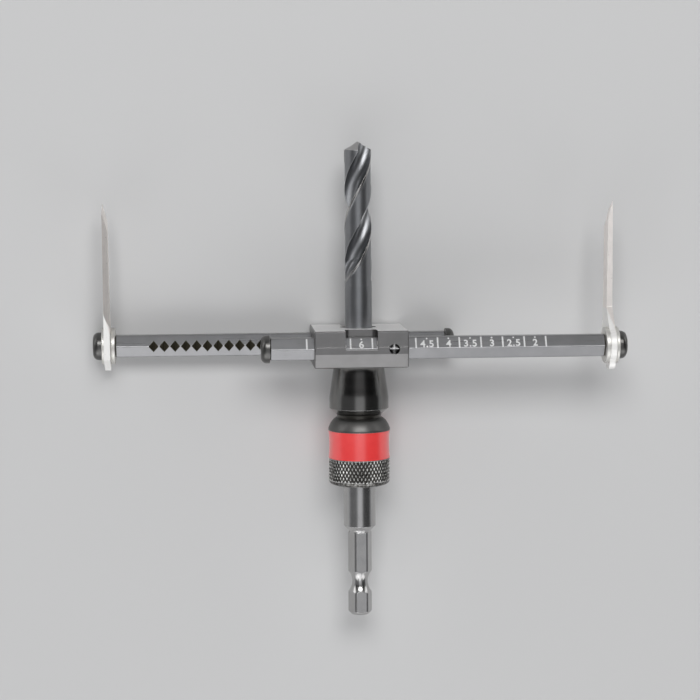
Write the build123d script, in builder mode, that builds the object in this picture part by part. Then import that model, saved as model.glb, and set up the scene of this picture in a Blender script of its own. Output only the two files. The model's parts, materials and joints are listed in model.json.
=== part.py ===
from build123d import *
from math import atan2, cos, degrees, hypot, radians, sin, sqrt, tan
import os

# Adjustable circle cutter: two hexagon arms slide through a hub, each with a blade at its outer end.
# A pilot drill stands in the middle and a quick-release arbor with a hexagon shank drives it.
# The cutter lies on its back. +Y runs along its axis from the shank to the drill's point, +X runs
# out to the front arm's blade and +Z is up, out of the hub's front. The origin is the middle of the
# shank's end. Sizes are in millimetres. The cutter is the same turned half round its axis, so each
# rear piece is the front piece turned.

# Fits
sliding_fit = 0.05
drive_fit = 0.1
bedding = 0.02

# Springs: straight facets in a turn of their wire, and around it
turn_facets = 20
wire_facets = 8

# Arms: hexagon bars with a corner to the front and notches in the inner corner
arm_across_flats = 6.35
arm_corner_radius = 0.4
arm_end_chamfer = 0.3
arm_spacing = 16.0
arm_reach = 71.6
stop_gap = 0.1
notch_pitch = 3.175
notch_width = 3.0
notch_depth = 1.0
clicks_out = 4
clicks_in = 16

# Hub
hub_length = 27.4
hub_cover = 0.834
hub_above = 5.3
hub_below = 5.6
crease_below = 1.43
foot_set_in = 1.4
line_above = 0.7
line_depth = 0.15
hub_edge = 0.3
window_width = 9.4
window_depth = 6.0
window_below = 0.25
window_corner = 1.5
relief_length = 10.8
relief_width = 4.6
relief_depth = 0.8
relief_behind = 2.4

# Detents: a ball and a spring for each arm, in a bore drilled from the face
detent_from_end = 4.175
detent_bore = 1.5
detent_ball_radius = 1.4
detent_bottom = -2.6
detent_wire = 0.2
detent_turns = 5.0

# Pilot drill
drill_radius = 3.97
drill_reach = 54.6
drill_seat = 8.6
point_angle = 118.0
flute_pitch = 43.0
flute_radius = 2.9
flute_offset = 3.6
waist_above_arms = 41.0
flute_foot_above_arms = 26.0
runout_length = 7.5
runout_rise = 3.5

# Receiver: cone, drum, neck and the tube inside the collar
spigot_radius = 6.4
spigot_height = 1.6
cone_top_radius = 7.35
drum_radius = 8.75
cone_length = 9.6
drum_length = 3.2
drum_chamfer = 1.9
neck_radius = 6.55
neck_length = 0.9
tube_radius = 6.1
tube_length = 19.2
tube_end_chamfer = 0.2
socket_radius = 4.8
socket_chamfer = 0.4
drill_screw_radius = 2.0
drill_screw_length = 3.7
drill_screw_below_hub = 4.6
drill_screw_key = 2.0
drill_screw_key_depth = 1.4

# Lock balls
lock_ball_radius = 1.25
lock_ball_count = 3
lock_ball_below_stop = 7.2
lock_groove_play = 0.05

# Shank
shank_radius = 4.75
shank_insertion = 22.4
tang_length = 4.0
tang_width = 7.0
shank_free_length = 13.2
shoulder_length = 2.0
shoulder_step = 1.2
shoulder_neck_radius = 3.6
shank_hex_length = 24.8
shank_across_flats = 6.35
shank_corner_radius = 3.5
shank_turn = 5.0
shank_end_chamfer = 1.0
groove_from_end = 9.9
groove_half_length = 3.2
groove_radius = 2.33

# Release collar: nose ring, colour band and knurled sleeve
nose_length = 3.8
nose_top_radius = 6.65
nose_bulge_radius = 8.2
nose_bulge_drop = 1.3
nose_foot_radius = 8.95
nose_foot_drop = 2.8
nose_lip_radius = 9.17
nose_lip = 0.4
band_length = 8.2
band_edge_radius = 9.12
band_waist_radius = 8.88
knurl_radius = 9.08
knurl_length = 6.2
end_rounding = 1.8
sleeve_spigot_radius = 8.0
guide_length = 1.8
recess_radius = 7.4
recess_length = 1.9
recess_ramp = 1.25
lock_land_length = 5.85
chamber_radius = 7.2

# Collar spring, its washer and its snap ring
spring_wire = 0.35
spring_turns = 3.0
spring_clearance = 0.05
seat_washer_radius = 7.0
seat_washer_thickness = 0.5
ring_radius = 6.8
ring_groove_radius = 5.6
ring_thickness = 0.6
ring_opening = 5.0
tube_tip = 0.3

# Screws at the arms' ends
head_radius = 4.1
head_height = 2.6
head_rim = 0.9
head_flat_radius = 2.5
head_bulge = 0.48
screw_radius = 2.0
screw_length = 12.0
screw_tip_chamfer = 0.4
screw_key = 2.5
screw_key_depth = 1.5
tapping_spare = 0.5

# Washers beside the blades
blade_washer_radius = 5.35
inner_washer_thickness = 1.3
outer_washer_thickness = 0.9
washer_edge = 0.2

# Blades, measured from the screw's axis: heights along +Y, reaches towards the cutting edge
blade_thickness = 1.8
blade_tip_thickness = 1.5
blade_height = 42.4
blade_tip_drop = 5.2
blade_tip_slant = 2.8
blade_heel = 2.8
blade_width = 6.6
blade_boss_radius = 5.0
blade_flare_foot = 4.6
blade_flare_reach = 2.0
blade_flare_top = 11.0
blade_toe_below = 3.2
blade_throat_below = 6.2
blade_tang_trailing = 2.5
blade_tang_leading = 3.5
blade_tang_below = 7.1
blade_tang_rounding = 2.4
blade_edge_bevel = 1.2
bevel_start = 4.5
bevel_full = 10.0
taper_start = 8.0
cutter_overrun = 1.0

# Stations along the axis, from the shank's end up to the drill's point
round_bottom = shank_hex_length + shoulder_length
tube_end = round_bottom + shank_free_length
collar_stop = tube_end + tube_length
drum_foot = collar_stop + neck_length
drum_bottom = drum_foot + drum_chamfer
drum_top = drum_bottom + drum_length
hub_bottom = drum_top + cone_length
arm_height = hub_bottom + hub_below
hub_top = arm_height + hub_above
shank_top = tube_end + shank_insertion
drill_bottom = hub_bottom - drill_seat
drill_top = hub_top + drill_reach
lock_ball_height = collar_stop - lock_ball_below_stop
drill_screw_height = hub_bottom - drill_screw_below_hub

# Sizes of the arms and blades that follow from the ones above
arm_side = arm_spacing / 2
hex_half = arm_across_flats / 2
hex_corner = arm_across_flats / sqrt(3)
arm_crest = hex_corner - arm_corner_radius * (hex_corner / hex_half - 1)
arm_tail = -(hub_length / 2 + clicks_out * notch_pitch + stop_gap)
blade_inner_face = arm_reach + inner_washer_thickness
blade_outer_face = blade_inner_face + blade_thickness
stack_end = blade_outer_face + outer_washer_thickness
screw_hole_radius = screw_radius + sliding_fit
hub_front = arm_side + hex_corner + hub_cover
detent_offset = hub_length / 2 - detent_from_end

# Sizes of the collar that follow from the ones above
guide_radius = tube_radius + sliding_fit
nose_bottom = collar_stop - nose_length
band_bottom = nose_bottom - band_length
collar_end = band_bottom - knurl_length - end_rounding
sleeve_top = collar_stop - guide_length
recess_bottom = sleeve_top - recess_length
ramp_bottom = recess_bottom - recess_ramp
chamber_top = ramp_bottom - lock_land_length
ring_bottom = tube_end + tube_tip
ring_top = ring_bottom + ring_thickness
seat_washer_top = ring_top + seat_washer_thickness

os.makedirs("parts", exist_ok=True)


def across(x, z):
    """A plane square to the arms at x and z: its x runs to the back, its y up the cutter's axis."""
    return Plane(origin=(x, arm_height, z), x_dir=(0, 0, -1), z_dir=(1, 0, 0))


def level(y, side=1):
    """A plane square to the cutter's axis at y: its y runs to the back, or for side -1 the front."""
    return Plane(origin=(0, y, 0), x_dir=(side, 0, 0), z_dir=(0, 1, 0))


def turned(profile, mode=Mode.ADD):
    """Turn a closed profile of (radius, station) points about the cutter's axis."""
    with BuildSketch(Plane.XY) as outline:
        Polygon(*profile)
    revolve(outline.sketch, axis=Axis.Y, mode=mode)


def coil(wire, coil_radius, length, turns, foot):
    """A spring of the given overall length on the plane foot, its wire in short straight facets."""
    rise = length - 2 * wire
    steps = round(turns * turn_facets)
    angles = [radians(360 * turns * step / steps) for step in range(steps + 1)]
    heights = [wire + rise * step / steps for step in range(steps + 1)]
    with BuildPart() as spring:
        with BuildLine(foot) as line:
            Polyline(*[(coil_radius * cos(a), coil_radius * sin(a), h) for a, h in zip(angles, heights)])
        with BuildSketch(Plane(origin=line.line @ 0, z_dir=line.line % 0)):
            RegularPolygon(wire, wire_facets)
        sweep(transition=Transition.RIGHT)
    return spring.part


def cap_screw(seat, outward):
    """A button-head screw on the front arm's axis, its head's seat at x, pointing out along X."""
    seat_plane = Plane(origin=(seat, arm_height, arm_side), x_dir=(outward, 0, 0), z_dir=(0, 0, 1))
    with BuildPart() as screw:
        with BuildSketch(seat_plane):
            with BuildLine():
                head_arc = SagittaArc((head_rim, head_radius), (head_height, head_flat_radius), head_bulge)
                Polyline(
                    head_arc @ 1,
                    (head_height, 0),
                    (-screw_length, 0),
                    (-screw_length, screw_radius - screw_tip_chamfer),
                    (screw_tip_chamfer - screw_length, screw_radius),
                    (0, screw_radius),
                    (0, head_radius),
                    head_arc @ 0,
                )
            make_face()
        revolve(axis=Axis(seat_plane.origin, seat_plane.x_dir))
        head_top = Plane(origin=screw.faces().sort_by(Axis.X)[-1 if outward > 0 else 0].center(), z_dir=(outward, 0, 0))
        with BuildSketch(head_top):
            RegularPolygon(screw_key / 2, 6, major_radius=False)
        extrude(amount=-screw_key_depth, mode=Mode.SUBTRACT)
    return screw.part


def blade_washer(x, thickness):
    """A plain washer on the front arm's axis, from x outwards, with its rims broken."""
    with BuildPart() as washer:
        with BuildSketch(across(x, arm_side)):
            Circle(blade_washer_radius)
            Circle(screw_hole_radius, mode=Mode.SUBTRACT)
        extrude(amount=thickness)
        rims = washer.edges().filter_by(GeomType.CIRCLE).group_by(SortBy.RADIUS)[-1]
        chamfer(rims, washer_edge)
    return washer.part


def flute_run(length, direction, flare):
    """Sweep the flute's circle from its foot along a helix that flares out, starting above +X."""
    with BuildPart() as run:
        with BuildLine() as line:
            Helix(
                flute_pitch / cos(radians(flare)),
                length,
                flute_offset,
                center=(0, flute_foot, 0),
                direction=(0, direction, 0),
                cone_angle=flare,
            )
        start = line.line @ 0
        with BuildSketch(Plane(origin=start, z_dir=line.line % 0)):
            Circle(flute_radius)
        sweep(is_frenet=True)
    return run.part.rotate(Axis.Y, degrees(atan2(start.Z, start.X)))


# Hub block: one milled block, the same from the front and from the back
with BuildPart() as hub_block:
    with BuildSketch(across(0, 0)):
        Polygon(
            (-hub_front, -crease_below),
            (-hub_front, hub_above),
            (hub_front, hub_above),
            (hub_front, -crease_below),
            (hub_front - foot_set_in, -hub_below),
            (foot_set_in - hub_front, -hub_below),
        )
    extrude(amount=hub_length / 2, both=True)
    outer_faces = hub_block.faces().filter_by(Axis.X) + hub_block.faces().filter_by(Axis.Y)
    chamfer(ShapeList(set(outer_faces.edges())), hub_edge)
    # A fine line along the front and the back, level with the arms
    with BuildSketch(across(0, 0)):
        with Locations((-hub_front, line_above), (hub_front, line_above)):
            RegularPolygon(line_depth, 4)
    extrude(amount=hub_length, both=True, mode=Mode.SUBTRACT)
    # Hexagon bores for the arms
    for side in (1, -1):
        with BuildSketch(across(0, side * arm_side)):
            RegularPolygon(hex_half + sliding_fit, 6, major_radius=False)
        extrude(amount=hub_length, both=True, mode=Mode.SUBTRACT)
    # Drill bore, and the seat of the receiver's spigot
    with BuildSketch(level(hub_bottom)):
        Circle(drill_radius + sliding_fit)
    extrude(amount=hub_below + hub_above, mode=Mode.SUBTRACT)
    with BuildSketch(level(hub_bottom)):
        Circle(spigot_radius + bedding)
    extrude(amount=spigot_height + bedding, mode=Mode.SUBTRACT)
    # Relief slot behind the drill
    with BuildSketch(level(hub_top)):
        with Locations((0, relief_behind)):
            SlotOverall(relief_length, relief_width)
    extrude(amount=-relief_depth, mode=Mode.SUBTRACT)
    for side in (1, -1):
        # Sight window over the arm's scale, open at the top
        with BuildSketch(level(hub_top, side)) as window:
            with Locations((0, (window_depth - cutter_overrun) / 2 - hub_front)):
                Rectangle(window_width, window_depth + cutter_overrun)
            fillet(window.vertices().group_by(Axis.Y)[-1], window_corner)
        extrude(amount=-(hub_above + window_below), mode=Mode.SUBTRACT)
        # Detent bore, drilled through the wall and the arm's bore into the web
        face_plane = Plane(origin=(0, arm_height, side * hub_front), x_dir=(side, 0, 0), z_dir=(0, 0, side))
        with BuildSketch(face_plane):
            with Locations((detent_offset, 0)):
                Circle(detent_bore)
        extrude(amount=detent_bottom - hub_front, mode=Mode.SUBTRACT)
hub_block.part.label = "hub_block"
export_step(hub_block.part, "parts/hub_block.step")

# Receiver: cone and drum under the hub, and the tube that the collar slides on
with BuildPart() as receiver:
    turned([
        (0, hub_bottom + spigot_height),
        (spigot_radius, hub_bottom + spigot_height),
        (spigot_radius, hub_bottom),
        (cone_top_radius, hub_bottom),
        (drum_radius, drum_top),
        (drum_radius, drum_bottom),
        (neck_radius, drum_foot),
        (neck_radius, collar_stop),
        (tube_radius, collar_stop),
        (tube_radius, tube_end + tube_end_chamfer),
        (tube_radius - tube_end_chamfer, tube_end),
        (0, tube_end),
    ])
    with BuildSketch(level(drill_bottom)):
        Circle(drill_radius + sliding_fit)
    extrude(amount=hub_bottom + spigot_height - drill_bottom, mode=Mode.SUBTRACT)
    # Socket for the shank, with a flat-sided pocket at its top that drives the tang
    with BuildSketch(level(tube_end)):
        Circle(socket_radius)
    extrude(amount=shank_insertion - tang_length + sliding_fit, mode=Mode.SUBTRACT)
    with BuildSketch(level(shank_top - tang_length)):
        Circle(socket_radius)
        Rectangle(2 * socket_radius, tang_width + drive_fit, mode=Mode.INTERSECT)
    extrude(amount=tang_length + sliding_fit, mode=Mode.SUBTRACT)
    turned(
        [
            (0, tube_end),
            (socket_radius + socket_chamfer, tube_end),
            (socket_radius, tube_end + socket_chamfer),
            (0, tube_end + socket_chamfer),
        ],
        mode=Mode.SUBTRACT,
    )
    # Groove for the snap ring
    turned(
        [
            (ring_groove_radius, ring_bottom),
            (drum_radius, ring_bottom),
            (drum_radius, ring_top),
            (ring_groove_radius, ring_top),
        ],
        mode=Mode.SUBTRACT,
    )
    # Holes for the lock balls, spaced evenly around the tube
    for ball in range(lock_ball_count):
        ball_plane = Plane(origin=(0, lock_ball_height, 0), z_dir=(0, 0, 1))
        with BuildSketch(ball_plane.rotated((0, ball * 360 / lock_ball_count, 0))):
            Circle(lock_ball_radius + bedding)
        extrude(amount=drum_radius, mode=Mode.SUBTRACT)
    # Tapped hole in the back for the screw that holds the drill
    with BuildSketch(Plane(origin=(0, drill_screw_height, 0), z_dir=(0, 0, -1))):
        Circle(drill_screw_radius + bedding)
    extrude(amount=drum_radius, mode=Mode.SUBTRACT)
receiver.part.label = "receiver"
export_step(receiver.part, "parts/receiver.step")

# Pilot drill: a twist drill whose two flutes run out above the hub
flute_foot = arm_height + flute_foot_above_arms
flute_foot_turn = (flute_foot_above_arms - waist_above_arms) / flute_pitch * 360
runout_flare = degrees(atan2(runout_rise, runout_length))
point_height = drill_radius / tan(radians(point_angle / 2))
with BuildPart() as flute_cutter:
    add(flute_run(drill_top - flute_foot + flute_radius, 1, 0))
    add(flute_run(runout_length, -1, runout_flare))
    with Locations((flute_offset, flute_foot, 0)):
        Sphere(flute_radius)
with BuildPart() as pilot_drill:
    turned([
        (0, drill_bottom),
        (drill_radius, drill_bottom),
        (drill_radius, drill_top - point_height),
        (0, drill_top),
    ])
    for half_turn in (0, 180):
        add(flute_cutter.part.rotate(Axis.Y, flute_foot_turn + half_turn), mode=Mode.SUBTRACT)
pilot_drill.part.label = "pilot_drill"
export_step(pilot_drill.part, "parts/pilot_drill.step")

# Drill screw: a grub screw whose inner end bears on the drill
drill_screw_plane = Plane(origin=(0, drill_screw_height, -drill_radius - bedding), z_dir=(0, 0, -1))
with BuildPart() as drill_set_screw:
    with BuildSketch(drill_screw_plane):
        Circle(drill_screw_radius)
    extrude(amount=drill_screw_length)
    with BuildSketch(drill_screw_plane.offset(drill_screw_length)):
        RegularPolygon(drill_screw_key / 2, 6, major_radius=False)
    extrude(amount=-drill_screw_key_depth, mode=Mode.SUBTRACT)
drill_set_screw.part.label = "drill_set_screw"
export_step(drill_set_screw.part, "parts/drill_set_screw.step")

# Shank: turned from hexagon bar, with a ball groove and a driving tang on its round end
lock_ball_centre = shank_radius + lock_groove_play + sliding_fit
with BuildPart() as shank:
    with BuildSketch(level(0)):
        RegularPolygon(shank_across_flats / 2, 6, major_radius=False, rotation=shank_turn)
    extrude(amount=shank_hex_length)
    turned(
        [
            (0, 0),
            (shank_corner_radius - shank_end_chamfer, 0),
            (shank_corner_radius, shank_end_chamfer),
            (shank_corner_radius, shank_hex_length),
            (0, shank_hex_length),
        ],
        mode=Mode.INTERSECT,
    )
    turned([
        (0, shank_hex_length),
        (shank_across_flats / 2, shank_hex_length),
        (shoulder_neck_radius, round_bottom - shoulder_step),
        (shank_radius, round_bottom),
        (shank_radius, shank_top),
        (0, shank_top),
    ])
    # Two flats at the top for the tang
    with BuildSketch(level(shank_top)):
        Circle(shank_radius)
        Rectangle(2 * shank_radius, tang_width, mode=Mode.SUBTRACT)
    extrude(amount=-tang_length, mode=Mode.SUBTRACT)
    # Groove for the lock balls
    with BuildSketch(Plane.XY) as ball_groove:
        with Locations((lock_ball_centre, lock_ball_height)):
            Circle(lock_ball_radius + lock_groove_play)
    revolve(axis=Axis.Y, mode=Mode.SUBTRACT)
    # Round groove across the hexagon's corners for a quick-change holder
    with BuildSketch(Plane.XY) as holder_groove:
        with BuildLine():
            groove_arc = ThreePointArc(
                (shank_corner_radius, groove_from_end - groove_half_length),
                (groove_radius, groove_from_end),
                (shank_corner_radius, groove_from_end + groove_half_length),
            )
            Polyline(
                groove_arc @ 1,
                (shank_radius, groove_from_end + groove_half_length),
                (shank_radius, groove_from_end - groove_half_length),
                groove_arc @ 0,
            )
        make_face()
    revolve(axis=Axis.Y, mode=Mode.SUBTRACT)
shank.part.label = "shank"
export_step(shank.part, "parts/shank.step")

# Lock balls: they hold the shank by its groove while the sleeve's land keeps them in
for ball in range(lock_ball_count):
    with BuildPart() as lock_ball:
        with Locations((0, lock_ball_height, lock_ball_centre)):
            Sphere(lock_ball_radius)
    placed_ball = lock_ball.part.rotate(Axis.Y, ball * 360 / lock_ball_count)
    placed_ball.label = f"lock_ball_{ball + 1}"
    export_step(placed_ball, f"parts/lock_ball_{ball + 1}.step")

# Nose ring: the collar's smooth top, which guides it on the tube and stops at the neck
with BuildPart() as nose_ring:
    with BuildSketch(Plane.XY):
        with BuildLine():
            nose_arc = ThreePointArc(
                (nose_top_radius, collar_stop),
                (nose_bulge_radius, collar_stop - nose_bulge_drop),
                (nose_foot_radius, collar_stop - nose_foot_drop),
            )
            Polyline(
                nose_arc @ 1,
                (nose_lip_radius, nose_bottom + nose_lip),
                (nose_lip_radius, nose_bottom),
                (sleeve_spigot_radius + bedding, nose_bottom),
                (sleeve_spigot_radius + bedding, sleeve_top),
                (guide_radius, sleeve_top),
                (guide_radius, collar_stop),
                nose_arc @ 0,
            )
        make_face()
    revolve(axis=Axis.Y)
nose_ring.part.label = "nose_ring"
export_step(nose_ring.part, "parts/nose_ring.step")

# Colour band: a waisted ring held between the nose ring and the knurl
with BuildPart() as colour_band:
    with BuildSketch(Plane.XY):
        with BuildLine():
            band_arc = ThreePointArc(
                (band_edge_radius, nose_bottom),
                (band_waist_radius, (nose_bottom + band_bottom) / 2),
                (band_edge_radius, band_bottom),
            )
            Polyline(
                band_arc @ 1,
                (sleeve_spigot_radius + bedding, band_bottom),
                (sleeve_spigot_radius + bedding, nose_bottom),
                band_arc @ 0,
            )
        make_face()
    revolve(axis=Axis.Y)
colour_band.part.label = "colour_band"
export_step(colour_band.part, "parts/colour_band.step")

# Release sleeve: its land keeps the balls in, its recess lets them out when it is pulled down
with BuildPart() as release_sleeve:
    turned([
        (recess_radius, sleeve_top),
        (sleeve_spigot_radius, sleeve_top),
        (sleeve_spigot_radius, band_bottom),
        (knurl_radius, band_bottom),
        (knurl_radius, collar_end),
        (chamber_radius, collar_end),
        (chamber_radius, chamber_top),
        (guide_radius, chamber_top),
        (guide_radius, ramp_bottom),
        (recess_radius, recess_bottom),
    ])
    fillet(release_sleeve.edges().group_by(Axis.Y)[0].sort_by(SortBy.RADIUS)[-1], end_rounding)
release_sleeve.part.label = "release_sleeve"
export_step(release_sleeve.part, "parts/release_sleeve.step")

# Snap ring on the tube's end, and the washer above it that carries the collar's spring
with BuildPart() as snap_ring:
    with BuildSketch(level(ring_bottom)):
        Circle(ring_radius)
        Circle(ring_groove_radius + bedding, mode=Mode.SUBTRACT)
        with Locations((0, ring_radius)):
            Rectangle(ring_opening, 2 * ring_radius, mode=Mode.SUBTRACT)
    extrude(amount=ring_thickness)
snap_ring.part.label = "snap_ring"
export_step(snap_ring.part, "parts/snap_ring.step")

with BuildPart() as spring_seat_washer:
    with BuildSketch(level(ring_top)):
        Circle(seat_washer_radius)
        Circle(tube_radius + bedding, mode=Mode.SUBTRACT)
    extrude(amount=seat_washer_thickness)
spring_seat_washer.part.label = "spring_seat_washer"
export_step(spring_seat_washer.part, "parts/spring_seat_washer.step")

# Collar spring, between the washer and the sleeve's land
collar_spring = coil(
    spring_wire,
    (tube_radius + chamber_radius) / 2,
    chamber_top - seat_washer_top - 2 * spring_clearance,
    spring_turns,
    level(seat_washer_top + spring_clearance),
)
collar_spring.label = "collar_spring"
export_step(collar_spring, "parts/collar_spring.step")

# Front arm: a hexagon bar with a tapped hole in each end
detent_notch = detent_offset - clicks_out * notch_pitch
with BuildPart() as arm_bar:
    with BuildSketch(across(arm_tail, arm_side)) as arm_section:
        RegularPolygon(hex_half, 6, major_radius=False)
        fillet(arm_section.vertices(), arm_corner_radius)
    extrude(amount=arm_reach - arm_tail)
    chamfer(arm_bar.faces().filter_by(Axis.X).edges(), arm_end_chamfer)
    # Notches in the corner that faces the drill, one for each click
    with BuildSketch(Plane(origin=(detent_notch, arm_height, arm_side - hex_corner), z_dir=(0, -1, 0), x_dir=(1, 0, 0))):
        with Locations(*[(click * notch_pitch, 0) for click in range(clicks_out + clicks_in + 1)]):
            Polygon((-notch_width / 2, 0), (notch_width / 2, 0), (0, notch_depth))
    extrude(amount=arm_across_flats, both=True, mode=Mode.SUBTRACT)
    with BuildSketch(across(arm_tail, arm_side)):
        Circle(screw_radius + bedding)
    extrude(amount=screw_length + tapping_spare, mode=Mode.SUBTRACT)
    with BuildSketch(across(arm_reach, arm_side)):
        Circle(screw_radius + bedding)
    extrude(amount=stack_end - arm_reach - screw_length - tapping_spare, mode=Mode.SUBTRACT)

# Front blade: its edge leads when the cutter turns, and its bevels are ground on the inner side
leading = blade_heel + blade_width
bevel_slope = (bevel_full - bevel_start) / hypot(blade_edge_bevel, blade_thickness)
bevel_far = hypot(blade_edge_bevel, blade_thickness) + cutter_overrun
with BuildPart() as blade:
    with BuildSketch(across(blade_inner_face, arm_side)) as blade_outline:
        Circle(blade_boss_radius)
        Polygon(
            (-blade_flare_reach, blade_flare_foot),
            (blade_heel, blade_flare_top),
            (blade_heel, blade_height),
            (leading, blade_height),
            (leading, -blade_toe_below),
            (blade_tang_leading, -blade_throat_below),
            (0, 0),
        )
        with BuildSketch(mode=Mode.PRIVATE) as tang:
            with Locations(((blade_tang_leading - blade_tang_trailing) / 2, -blade_tang_below / 2)):
                Rectangle(blade_tang_leading + blade_tang_trailing, blade_tang_below)
            fillet(tang.vertices().group_by(Axis.Y)[0], blade_tang_rounding)
        add(tang.sketch)
        Circle(screw_hole_radius, mode=Mode.SUBTRACT)
    extrude(amount=blade_thickness)
    # The inner face tapers towards the tip
    with BuildSketch(Plane(origin=(0, arm_height, arm_side), x_dir=(1, 0, 0), z_dir=(0, 0, 1))):
        Polygon(
            (blade_inner_face, -blade_height),
            (blade_outer_face, -blade_height),
            (blade_outer_face, blade_height),
            (blade_outer_face - blade_tip_thickness, blade_height),
            (blade_outer_face - blade_tip_thickness, blade_height - blade_tip_drop),
            (blade_inner_face, taper_start),
        )
    extrude(amount=blade_height, both=True, mode=Mode.INTERSECT)
    # The tip is a chisel across the thickness, and its edge rises to a point away from the cutting edge
    tip_plane = Plane(
        origin=(blade_outer_face, arm_height + blade_height, arm_side - blade_heel),
        x_dir=(-1, 0, 0),
        z_dir=(0, -blade_tip_slant, -blade_width),
    )
    with BuildSketch(tip_plane):
        Polygon(
            (0, 0),
            (0, blade_tip_drop),
            (blade_thickness, blade_tip_drop),
            (blade_thickness, -blade_tip_drop * blade_thickness / blade_tip_thickness),
        )
    extrude(amount=leading, both=True, mode=Mode.SUBTRACT)
    # The leading edge is ground over the whole thickness and runs out on a slant above the washer
    bevel_plane = Plane(
        origin=(blade_outer_face, arm_height, arm_side - leading),
        x_dir=(0, 1, 0),
        z_dir=(-blade_edge_bevel, 0, -blade_thickness),
    )
    with BuildSketch(bevel_plane):
        Polygon(
            (bevel_full + bevel_slope * cutter_overrun, cutter_overrun),
            (blade_height + cutter_overrun, cutter_overrun),
            (blade_height + cutter_overrun, -bevel_far),
            (bevel_full - bevel_slope * bevel_far, -bevel_far),
        )
    extrude(amount=blade_width, mode=Mode.SUBTRACT)

# Front detent: the ball stands just clear of the arm's crests, pressed up by its spring
ball_rest = arm_side - arm_crest - sliding_fit - detent_ball_radius
detent_coil_radius = detent_bore - detent_wire - 2 * drive_fit
coil_below_ball = sqrt((detent_ball_radius + detent_wire) ** 2 - detent_coil_radius**2)
detent_spring_length = ball_rest - coil_below_ball + detent_wire - bedding - detent_bottom
with BuildPart() as detent_ball:
    with Locations((detent_offset, arm_height, ball_rest)):
        Sphere(detent_ball_radius)
detent_spring = coil(
    detent_wire,
    detent_coil_radius,
    detent_spring_length,
    detent_turns,
    Plane(origin=(detent_offset, arm_height, detent_bottom), z_dir=(0, 0, 1)),
)

# Each of these pieces is made once for the front and once turned half round for the rear
paired_pieces = {
    "arm_bar": arm_bar.part,
    "stop_screw": cap_screw(arm_tail, -1),
    "blade": blade.part,
    "inner_washer": blade_washer(arm_reach, inner_washer_thickness),
    "outer_washer": blade_washer(blade_outer_face, outer_washer_thickness),
    "blade_screw": cap_screw(stack_end, 1),
    "detent_ball": detent_ball.part,
    "detent_spring": detent_spring,
}
for name, piece in paired_pieces.items():
    for side, turn in (("front", 0), ("rear", 180)):
        placed = piece.rotate(Axis.Y, turn)
        placed.label = f"{side}_{name}"
        export_step(placed, f"parts/{side}_{name}.step")
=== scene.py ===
import json
from math import cos, inf, pi, radians, sin, tan

import bmesh
import bpy
import numpy as np
from mathutils import Matrix, Vector

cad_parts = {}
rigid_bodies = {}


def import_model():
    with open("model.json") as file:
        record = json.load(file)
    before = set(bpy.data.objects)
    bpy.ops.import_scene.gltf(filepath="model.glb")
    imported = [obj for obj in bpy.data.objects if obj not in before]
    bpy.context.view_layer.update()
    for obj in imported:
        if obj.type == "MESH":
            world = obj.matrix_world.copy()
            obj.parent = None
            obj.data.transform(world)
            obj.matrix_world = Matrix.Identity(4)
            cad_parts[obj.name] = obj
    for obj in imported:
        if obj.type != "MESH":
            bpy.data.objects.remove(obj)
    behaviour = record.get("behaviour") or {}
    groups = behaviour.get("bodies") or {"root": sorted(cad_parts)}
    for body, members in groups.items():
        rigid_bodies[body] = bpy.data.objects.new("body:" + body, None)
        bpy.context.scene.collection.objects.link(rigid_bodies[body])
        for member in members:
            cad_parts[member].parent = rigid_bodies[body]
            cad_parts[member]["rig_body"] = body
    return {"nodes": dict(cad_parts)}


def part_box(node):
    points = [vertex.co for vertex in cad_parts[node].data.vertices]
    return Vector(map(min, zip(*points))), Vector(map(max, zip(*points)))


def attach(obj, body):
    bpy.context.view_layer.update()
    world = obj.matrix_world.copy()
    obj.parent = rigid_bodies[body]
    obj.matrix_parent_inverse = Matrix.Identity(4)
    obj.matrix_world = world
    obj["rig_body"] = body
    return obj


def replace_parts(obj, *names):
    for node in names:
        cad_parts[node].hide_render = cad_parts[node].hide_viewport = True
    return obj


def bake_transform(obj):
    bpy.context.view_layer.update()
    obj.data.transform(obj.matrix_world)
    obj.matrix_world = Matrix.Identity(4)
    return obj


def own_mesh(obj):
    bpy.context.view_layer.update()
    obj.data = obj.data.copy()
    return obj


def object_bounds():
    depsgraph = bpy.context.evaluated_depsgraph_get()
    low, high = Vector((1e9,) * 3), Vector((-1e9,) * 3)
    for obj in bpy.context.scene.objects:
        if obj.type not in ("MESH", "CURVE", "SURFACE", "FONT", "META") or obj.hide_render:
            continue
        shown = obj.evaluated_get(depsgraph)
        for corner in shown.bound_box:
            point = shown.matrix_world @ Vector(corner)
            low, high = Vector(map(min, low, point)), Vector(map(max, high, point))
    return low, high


# Adjustable circle cutter, lying on its back. Y runs along its axis towards the drill's point, X out
# to the front arm's blade, and Z up out of the hub's front. Lengths are in metres.
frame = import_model()
nodes = frame["nodes"]
cad_box = [list(corner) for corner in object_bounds()]
mm = 0.001

# Camera: a long lens above the cutter, a little to the left of its axis and nearer to the drill's end.
# Its picture is square, and the lens is given for a sensor 36 mm wide.
arm_low, arm_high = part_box("front_arm_bar")
arm_height = (arm_low.y + arm_high.y) / 2
camera_distance = 615 * mm
camera_pitch = radians(5.67)
camera_yaw = radians(4.22)
camera_roll = radians(-0.36)
camera_aim = Vector((-2.55 * mm, arm_height - 1.33 * mm, 0))
picture_pixels = 700
focal_pixels = 2085
sensor_width = 36

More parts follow.
